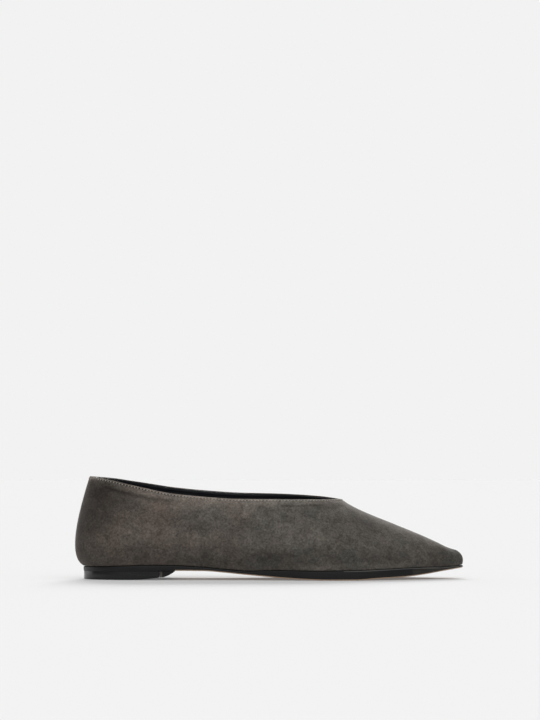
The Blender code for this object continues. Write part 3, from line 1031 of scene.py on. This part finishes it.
def make_stitches(sheet, thread, hole):
    """One row of short slanted stitches round the top line, with the needle holes between them."""
    surface = BVHTree.FromPolygons(sheet.points, list(sheet.faces()))
    line = []
    down = STITCH_DEPTH_BELOW_EDGE - EDGE_ROLL
    for point, normal, up in sheet.edge_frames():
        place, face_normal, _, _ = surface.find_nearest(point - up * down)
        line.append((place, face_normal if face_normal.dot(normal) > 0 else -face_normal))
    line.append(line[0])
    lengths = [(b[0] - a[0]).length for a, b in zip(line, line[1:])]
    total = sum(lengths)
    count = round(total / STITCH_PITCH)
    pitch = total / count

    def on_line(distance):
        passed = 0.0
        distance %= total
        for a, b, length in zip(line, line[1:], lengths):
            if passed + length >= distance:
                share = (distance - passed) / length
                return a[0].lerp(b[0], share), a[1].lerp(b[1], share).normalized()
            passed += length
        return line[-1]

    bm = bmesh.new()
    for k in range(count):
        middle, normal = on_line(k * pitch)
        along = (on_line((k + 0.25) * pitch)[0] - middle).normalized()
        across = normal.cross(along).normalized()
        along = (along * math.cos(STITCH_SLANT) + across * math.sin(STITCH_SLANT)).normalized()
        across = normal.cross(along).normalized()
        rings = []
        for r in range(STITCH_RINGS + 1):
            u = -1 + 2 * r / STITCH_RINGS
            girth = max(STITCH_END_GIRTH, 1 - abs(u) ** STITCH_TAPER) * STITCH_WIDTH / 2
            lift = STITCH_LIFT - abs(u) ** STITCH_DIVE * STITCH_SINK
            centre = middle + along * (u * STITCH_LENGTH / 2) + normal * lift
            rings.append(oval(bm, centre, across * girth, normal * girth * STITCH_FLATNESS))
        bands(bm, rings)
        bm.faces.new(rings[0])
        bm.faces.new(rings[-1])

        gap, normal = on_line((k + 0.5) * pitch)
        along = normal.cross(across).normalized()
        shrunk = share_between(gap.x, HOLES_SHRINK_FROM_X, HOLES_SHRINK_TO_X)
        half = (HOLE_LENGTH_BACK + (HOLE_LENGTH_FRONT - HOLE_LENGTH_BACK) * shrunk) / 2
        rim = oval(bm, gap + normal * HOLE_LIFT, along * half, normal.cross(along) * half * HOLE_SHAPE)
        pit = bm.verts.new(gap - normal * HOLE_DEPTH)
        bm.faces.new(rim).material_index = 1
        for a, b in zip(rim, rim[1:] + rim[:1]):
            bm.faces.new((a, b, pit)).material_index = 1
    finish_piece("top_line_stitches", bm, [thread, hole], "suede_upper")


def make_sock(sheet, sock):
    """The black sock: it lies on the lasting margin and curls up a little where it meets the lining."""
    last = sheet.last
    end = next(i for i in range(last.tip, 0, -1) if foot_x(last.places[i]) < TREAD_TIP - SOCK_TOE_GAP)

    def edge_point(c):
        height = sole_top(last.feet[c].x) + SOCK_HEIGHT
        for row in sheet.ids:
            point = sheet.points[row[c]] - sheet.normals[row[c]] * (WALL + SOCK_EDGE_GAP)
            if point.z > height + SOCK_CURL:
                return point
        return sheet.points[sheet.ids[0][c]] - last.normals[c] * WALL

    bm = bmesh.new()
    rows = []
    for rib in range(1, end + 1):
        lateral = edge_point(rib)
        medial = edge_point(last.columns - rib)
        top, bottom = [], []
        for k in range(SOCK_COLUMNS + 1):
            v = k / SOCK_COLUMNS
            x, y, _ = lateral.lerp(medial, v)
            height = sole_top(x) + SOCK_HEIGHT + SOCK_CURL * abs(2 * v - 1) ** SOCK_CURL_POWER
            top.append(bm.verts.new((x, y, height)))
            bottom.append(bm.verts.new((x, y, height - SOCK_THICKNESS)))
        rows.append((top, bottom))
    for (top_a, bottom_a), (top_b, bottom_b) in zip(rows, rows[1:]):
        band(bm, top_a, top_b, closed=False)
        band(bm, bottom_a, bottom_b, closed=False)
        for k in (0, SOCK_COLUMNS):
            bm.faces.new((top_a[k], top_b[k], bottom_b[k], bottom_a[k]))
    for top, bottom in (rows[0], rows[-1]):
        band(bm, top, bottom, closed=False)
    finish_piece("sock", bm, [sock], "sock_leather", "insole")


def make_flap(bm):
    """The waist turned down over the front of the heel, from its cut foot to where it meets the sole."""
    back = BREAST_X + JOINT_GAP
    foot = back + FLAP_FOOT_LENGTH
    curve = FLAP_LENGTH - FLAP_FOOT_LENGTH
    stations = [back, back + FLAP_COVER, foot]
    stations += [foot + curve * (i + 1) / FLAP_STEPS for i in range(FLAP_STEPS)]
    profile = []
    for x in stations:
        t = share_between(x, foot, foot + curve)
        bent = FLAP_STRAIGHT * t + (1 - FLAP_STRAIGHT) * t * t
        low = FLAP_CLEARANCE + (sole_underside(x) - FLAP_CLEARANCE) * bent
        top = sole_underside(x) + FLAP_ROOT
        lateral, medial = tread_sides(x)
        y_low, y_high = lateral + FLAP_INSET, medial - FLAP_INSET
        soft = FLAP_SOFT_EDGE if t < FLAP_THIN_FROM else FLAP_THIN_EDGE
        profile.append([
            bm.verts.new(place) for place in (
                (x, y_low, top), (x, y_low, low + soft), (x, y_low + soft, low),
                (x, y_high - soft, low), (x, y_high, low + soft), (x, y_high, top),
            )
        ])
    for i, (behind, ahead) in enumerate(zip(profile, profile[1:])):
        band(bm, behind, ahead, material=CUT if i == 0 else PAINT)
    bm.faces.new(profile[0]).material_index = CUT
    bm.faces.new(profile[-1]).material_index = PAINT


def make_outsole(last, finishes):
    """The sole: a black edge with a fine upper corner, a tan underside, and its flap at the heel."""
    ring = [foot + normal * SOLE_OVERHANG for foot, normal in zip(last.feet, last.normals)]
    bm = bmesh.new()
    rows = []
    heights = [(inset, lambda x, d=down: sole_top(x) - d * MM) for inset, down in SOLE_EDGE_ABOVE]
    heights += [(inset, lambda x, u=up: sole_underside(x) + u * MM) for inset, up in SOLE_EDGE_BELOW]
    for inset, height in heights:
        row = []
        for point, normal in zip(ring, last.normals):
            limit = SOLE_INSET_LIMIT * tread_middle(point.x)[1]
            if len(rows) >= len(SOLE_EDGE_ABOVE) and point.x < BREAST_X:
                limit = SEAT_CORNER
            place = point - normal * min(inset * MM, limit)
            row.append(bm.verts.new((place.x, place.y, height(point.x))))
        rows.append(row)
    painted = len(SOLE_EDGE_ABOVE) + PAINTED_BELOW
    for i, (upper, lower) in enumerate(zip(rows, rows[1:])):
        band(bm, upper, lower, material=PAINT if i + 1 < painted else TAN)
    corner = {vertex for row in rows[1:len(SOLE_EDGE_ABOVE)] for vertex in row}
    side = {vertex for row in rows[len(SOLE_EDGE_ABOVE) - 1:painted] for vertex in row}
    under = set(rows[-1])
    for face in bm.faces:
        x = face.calc_center_median().x
        if x < BREAST_X or (x < FLAP_FRONT and not under.issuperset(face.verts)):
            face.material_index = PAINT
        # Painted highlight on the edge's upper corner, where it faces the light
        elif x > CORNER_HIGHLIGHT_FROM_X and corner.issuperset(face.verts):
            face.material_index = CORNER_HIGHLIGHT
        # Lighter edge paint on the side at the toe
        elif x > LIGHTER_TOE_EDGE_FROM_X and side.issuperset(face.verts):
            face.material_index = LIGHTER_TOE_EDGE
    for row, material in ((rows[0], PAINT), (rows[-1], TAN)):
        lateral = row[:last.tip + 1]
        medial = [row[-i] for i in range(last.tip + 1)]
        band(bm, lateral, medial, material=material, closed=False)
    make_flap(bm)
    finish_piece("leather_sole", bm, finishes, "sole_edge", "outsole")


def make_heel(last, finishes):
    """The low heel: the seat's outline, cut straight at the breast, with small rounded edges."""
    def half_outline(columns):
        front = BREAST_X - HEEL_BEVEL
        return [(last.feet[c], last.normals[c]) for c in columns if last.feet[c].x < front]

    lateral = half_outline(range(last.tip + 1))
    medial = half_outline(range(last.tip + 1, last.columns))
    flat_end = HEEL_BACK + HEEL_FLAT_SHARE * HEEL_LENGTH

    def tread(x):
        return HEEL_RISE * share_between(x, flat_end, HEEL_BACK + HEEL_LENGTH) ** 2

    def ring(inset):
        grown = SOLE_OVERHANG - HEEL_INSET - inset
        sides = [[foot + normal * grown for foot, normal in half] for half in (lateral, medial)]
        y_low, y_high = tread_sides(BREAST_X)
        x = BREAST_X - inset
        return [*sides[0], Vector((x, y_low - grown, 0)), Vector((x, y_high + grown, 0)), *sides[1]]

    bm = bmesh.new()
    rows = []
    angles = [math.pi / 2 * k / BEVEL_STEPS for k in range(BEVEL_STEPS + 1)]
    for angle in angles:
        top = HEEL_TOP - HEEL_TOP_BEVEL * (1 - math.cos(angle))
        outline = ring(HEEL_TOP_BEVEL * (1 - math.sin(angle)))
        rows.append([bm.verts.new((p.x, p.y, top)) for p in outline])
    for angle in angles:
        rise = HEEL_BEVEL * (1 - math.sin(angle))
        outline = ring(HEEL_BEVEL * (1 - math.cos(angle)))
        rows.append([bm.verts.new((p.x, p.y, tread(p.x) + rise)) for p in outline])
    bands(bm, rows)
    for row, material in ((rows[0], 0), (rows[-1], 1)):
        half = len(lateral)
        other = [row[0], *row[:half + 1:-1], row[half + 1]]
        band(bm, row[:half + 1], other, material=material, closed=False)
    finish_piece("glossy_heel", bm, finishes, "heel_gloss", "heel_block")


def add(tree, kind, inputs=(), **settings):
    """A new node, with its inputs linked to outputs or set to values."""
    node = tree.nodes.new("ShaderNode" + kind)
    for name, value in settings.items():
        setattr(node, name, value)
    for socket, value in dict(inputs).items():
        if isinstance(value, bpy.types.NodeSocket):
            tree.links.new(value, node.inputs[socket])
        else:
            node.inputs[socket].default_value = value
    return node


def new_material(name, **values):
    """A Principled material with constant values set on its own sockets."""
    material = bpy.data.materials.new(name)
    material.use_nodes = True
    shader = material.node_tree.nodes["Principled BSDF"]
    for socket, value in values.items():
        shader.inputs[socket.replace("_", " ")].default_value = value
    return material, material.node_tree, shader


def wire(shader, **patterns):
    """Link patterns to a shader's sockets."""
    for socket, pattern in patterns.items():
        shader.id_data.links.new(pattern, shader.inputs[socket.replace("_", " ")])


def noise(tree, scale, detail=3.0, roughness=0.55, stretch=(1, 1, 1), distortion=0.0):
    """A noise pattern in the shoe's own coordinates. Its scale is in patches per metre."""
    place = add(tree, "TexCoord").outputs["Object"]
    place = add(tree, "Mapping", {"Vector": place, "Scale": stretch}).outputs["Vector"]
    values = {"Scale": scale, "Detail": detail, "Roughness": roughness, "Distortion": distortion}
    return add(tree, "TexNoise", {"Vector": place, **values}).outputs["Fac"]


def ramp(tree, value, *stops):
    """Colours or greys along a value."""
    node = add(tree, "ValToRGB", {"Fac": value})
    elements = node.color_ramp.elements
    while len(elements) < len(stops):
        elements.new(0.5)
    for element, (position, colour) in zip(elements, stops):
        element.position = position
        element.color = (*colour, 1) if isinstance(colour, tuple) else (colour, colour, colour, 1)
    return node.outputs["Color"]


def blend_colours(tree, kind, first, second):
    """Two colours blended in full."""
    inputs = {0: 1.0, 6: first, 7: second}
    return add(tree, "Mix", inputs, data_type="RGBA", blend_type=kind).outputs[2]


def bump(tree, height, distance, strength, **under):
    """A bump of a height in metres, on top of another bump if one is given as its Normal."""
    inputs = {"Height": height, "Distance": distance, "Strength": strength, **under}
    return add(tree, "Bump", inputs).outputs["Normal"]


def suede_material():
    """Taupe suede: the mesh's patches of tone with painted light and shade, warm and cool drifts, a
    short matt nap and a soft sheen.
    """
    material, tree, shader = new_material(
        "taupe_suede", Roughness=0.95, Specular_IOR_Level=0.12, Sheen_Weight=0.16,
        Sheen_Roughness=0.45, Sheen_Tint=(1.0, 0.94, 0.88, 1),
    )
    # The mesh's 'nap' colour: the suede's uneven tone with painted light and shade
    nap_tone_and_light = add(tree, "Attribute", attribute_name="nap").outputs["Color"]
    drift = noise(tree, 62)
    patches = noise(tree, 130, detail=5.0, roughness=0.66, stretch=(1, 1, 1.25), distortion=0.8)
    grain = noise(tree, 760, roughness=0.75)
    fibre = noise(tree, 2600, detail=2.0, stretch=(1, 1, 0.45))
    colour = ramp(tree, drift, (0.35, (0.0985, 0.0866, 0.0752)), (0.65, (0.1072, 0.0880, 0.0750)))
    tone = ramp(tree, patches, (0.30, 0.66), (0.70, 1.34))
    speck = ramp(tree, grain, (0.28, 0.54), (0.72, 1.46))
    for change in (tone, speck, nap_tone_and_light):
        colour = blend_colours(tree, "MULTIPLY", colour, change)
    coarse = bump(tree, patches, 0.12 * MM, 0.6)
    middle = bump(tree, grain, 0.18 * MM, 0.9, Normal=coarse)
    wire(shader, Base_Color=colour, Normal=bump(tree, fibre, 0.07 * MM, 0.8, Normal=middle))
    return material


def leather_material(name, dark, light, roughness, grain_scale, grain_depth, coat=0.0):
    """Smooth leather with fine pebbles, a little colour drift and uneven gloss."""
    material, tree, shader = new_material(name, Coat_Weight=coat, Coat_Roughness=0.25)
    place = add(tree, "TexCoord").outputs["Object"]
    inputs = {"Vector": place, "Scale": grain_scale}
    cells = add(tree, "TexVoronoi", inputs, feature="DISTANCE_TO_EDGE").outputs["Distance"]
    pebbles = bump(tree, ramp(tree, cells, (0.0, 0.0), (0.12, 1.0)), grain_depth, 0.6)
    pore_size, pore_depth, uneven = grain_scale * 2.4, grain_depth * 0.7, 0.07
    pores = bump(tree, noise(tree, pore_size, detail=2.0), pore_depth, 0.5, Normal=pebbles)
    gloss = ramp(tree, noise(tree, 140), (0.3, roughness - uneven), (0.7, roughness + uneven))
    drift = ramp(tree, noise(tree, 60), (0.3, dark), (0.7, light))
    wire(shader, Base_Color=drift, Roughness=gloss, Normal=pores)
    return material


def tan_material():
    """Tan sole leather: fine fibres, faint pores and a little polish."""
    material, tree, shader = new_material("tan_sole_leather", Coat_Weight=0.15, Coat_Roughness=0.3)
    cloud = noise(tree, 45, detail=4.0, distortion=0.6)
    pores = noise(tree, 1900, detail=2.0)
    colour = ramp(tree, cloud, (0.3, (0.36, 0.245, 0.16)), (0.7, (0.46, 0.325, 0.22)))
    colour = blend_colours(tree, "MULTIPLY", colour, ramp(tree, pores, (0.3, 0.88), (0.7, 1.08)))
    gloss = ramp(tree, cloud, (0.3, 0.42), (0.7, 0.55))
    wire(shader, Base_Color=colour, Roughness=gloss, Normal=bump(tree, pores, 0.04 * MM, 0.6))
    return material


def plain_material(name, dark, light, marks, gloss=None, relief=None, **values):
    """A material whose colour, gloss and relief all follow one noise pattern."""
    material, tree, shader = new_material(name, **values)
    pattern = noise(tree, **marks)
    wire(shader, Base_Color=ramp(tree, pattern, (0.3, dark), (0.7, light)))
    if gloss:
        wire(shader, Roughness=ramp(tree, pattern, *gloss))
    if relief:
        wire(shader, Normal=bump(tree, pattern, *relief))
    return material


def edge_paint(name, dark, light, shine):
    """Edge paint on the cut sole: smooth, with faint layers and brush marks."""
    return plain_material(
        name, dark, light, dict(scale=420, stretch=(0.12, 0.12, 1.6)),
        gloss=((0.3, 0.36), (0.7, 0.52)), relief=(0.05 * MM, 0.5), Specular_IOR_Level=shine,
    )


def sole_finishes():
    """Finishes of the sole, in the order of their numbers."""
    return [
        edge_paint("black_edge_paint", (0.0065, 0.0065, 0.007), (0.013, 0.0125, 0.012), 0.24),
        tan_material(),
        plain_material(
            "cut_sole_leather", (0.060, 0.055, 0.047), (0.115, 0.106, 0.093),
            dict(scale=1200, stretch=(1.0, 1.0, 0.3)), relief=(0.06 * MM, 0.7), Roughness=0.6,
        ),
        # Painted highlight for the upper corner of the edge
        edge_paint("corner_highlight_paint", (0.050, 0.051, 0.052), (0.115, 0.112, 0.105), 0.2),
        # Lighter edge paint for the side at the toe
        edge_paint("lighter_toe_edge_paint", (0.018, 0.017, 0.015), (0.036, 0.032, 0.027), 0.22),
    ]


def heel_finishes():
    """Black lacquer with a few fine marks in its gloss, and matt pebbled rubber under it."""
    return [
        plain_material(
            "black_heel_gloss", (0.006, 0.006, 0.0065), (0.010, 0.010, 0.0105),
            dict(scale=300, detail=4.0, stretch=(0.35, 0.35, 2.0)),
            gloss=((0.35, 0.16), (0.75, 0.30)), relief=(0.02 * MM, 0.4), Specular_IOR_Level=0.34,
        ),
        plain_material(
            "heel_rubber", 0.010, 0.020, dict(scale=1500, detail=2.0),
            relief=(0.08 * MM, 0.8), Roughness=0.7,
        ),
    ]


def thread_and_hole():
    """Taupe thread, twisted, and the near-black of a needle hole, painted shade inside the hole."""
    thread = plain_material(
        "taupe_thread", (0.27, 0.255, 0.23), (0.39, 0.37, 0.34), dict(scale=3200, detail=1.0),
        relief=(0.05 * MM, 0.7), Roughness=0.6, Sheen_Weight=0.2,
    )
    # Painted shade inside the needle hole
    hole = plain_material(
        "needle_hole_shade", 0.008, 0.016, dict(scale=2000), Roughness=1.0, Specular_IOR_Level=0.0
    )
    return thread, hole


def make_floor():
    """One flat matt floor just under the shoe, with a faint glow of its own, painted light that lightens
    and softens the shadows on it and lights the shoe from below.
    """
    material, _, _ = new_material(
        "studio_floor", Base_Color=(FLOOR_ALBEDO, FLOOR_ALBEDO, FLOOR_ALBEDO, 1), Roughness=0.6,
        Specular_IOR_Level=0.0, Emission_Strength=FLOOR_GLOW, Emission_Color=(1, 1, 1, 1),
    )
    bm = bmesh.new()
    bmesh.ops.create_grid(bm, x_segments=8, y_segments=8, size=FLOOR_SIZE / 2)
    floor = put("studio_floor", make_mesh("studio_floor", bm, [material]))
    floor.location = (0, 0, -FLOOR_GAP)


def make_sun(name, azimuth, elevation, strength, size):
    """A broad soft light from one direction, in degrees."""
    light = bpy.data.lights.new(name, "SUN")
    light.energy = strength
    light.angle = math.radians(size)
    a, e = math.radians(azimuth), math.radians(elevation)
    towards = Vector((math.sin(a) * math.cos(e), -math.cos(a) * math.cos(e), math.sin(e)))
    point_axis(put(name, light), towards, "Z")


def make_world():
    """A soft white surround, brighter high up in front, and the set's own white behind the shoe."""
    world = bpy.data.worlds.new("soft_studio")
    world.use_nodes = True
    tree = world.node_tree
    tree.nodes.clear()
    place = add(tree, "TexCoord").outputs["Generated"]

    def light_from(direction, stops):
        facing = add(tree, "VectorMath", {0: place, 1: direction}, operation="DOT_PRODUCT")
        return ramp(tree, facing.outputs["Value"], *stops)

    window = light_from(WINDOW, WINDOW_LIGHT)
    sky = blend_colours(tree, "LIGHTEN", window, light_from(BACKDROP, BACKDROP_LIGHT))
    light = add(tree, "Background", {"Color": sky})
    seen = add(tree, "Background", {"Color": (SET_WHITE, SET_WHITE, SET_WHITE, 1)})
    mix = add(tree, "MixShader", {
        "Fac": add(tree, "LightPath").outputs["Is Camera Ray"],
        1: light.outputs["Background"],
        2: seen.outputs["Background"],
    })
    add(tree, "OutputWorld", {"Surface": mix.outputs["Shader"]})
    bpy.context.scene.world = world


def make_camera():
    """A long lens, a little above the floor, that looks at the shoe's lateral side."""
    data = bpy.data.cameras.new("camera")
    data.sensor_width = SENSOR
    data.lens = LENS
    camera = put("camera", data)
    camera.location = (AIM_X, -CAMERA_DISTANCE, CAMERA_HEIGHT)
    point_axis(camera, Vector((AIM_X, 0, AIM_HEIGHT)) - camera.location, "-Z")
    bpy.context.scene.camera = camera


def main():
    bpy.context.scene.view_settings.view_transform = "Standard"
    make_camera()
    make_world()
    for sun in SUNS:
        make_sun(*sun)
    make_floor()

    last = Last()
    sheet = Sheet(last)
    make_upper(sheet, suede_material())
    make_lining(sheet, leather_material(
        "lining_leather", (0.006, 0.007, 0.009), (0.011, 0.012, 0.015), 0.5, 900, 0.05 * MM,
    ))
    make_stitches(sheet, *thread_and_hole())
    make_sock(sheet, leather_material(
        "sock_leather", (0.010, 0.010, 0.011), (0.016, 0.016, 0.017), 0.45, 700, 0.06 * MM, coat=0.1,
    ))
    make_outsole(last, sole_finishes())
    make_heel(last, heel_finishes())


main()
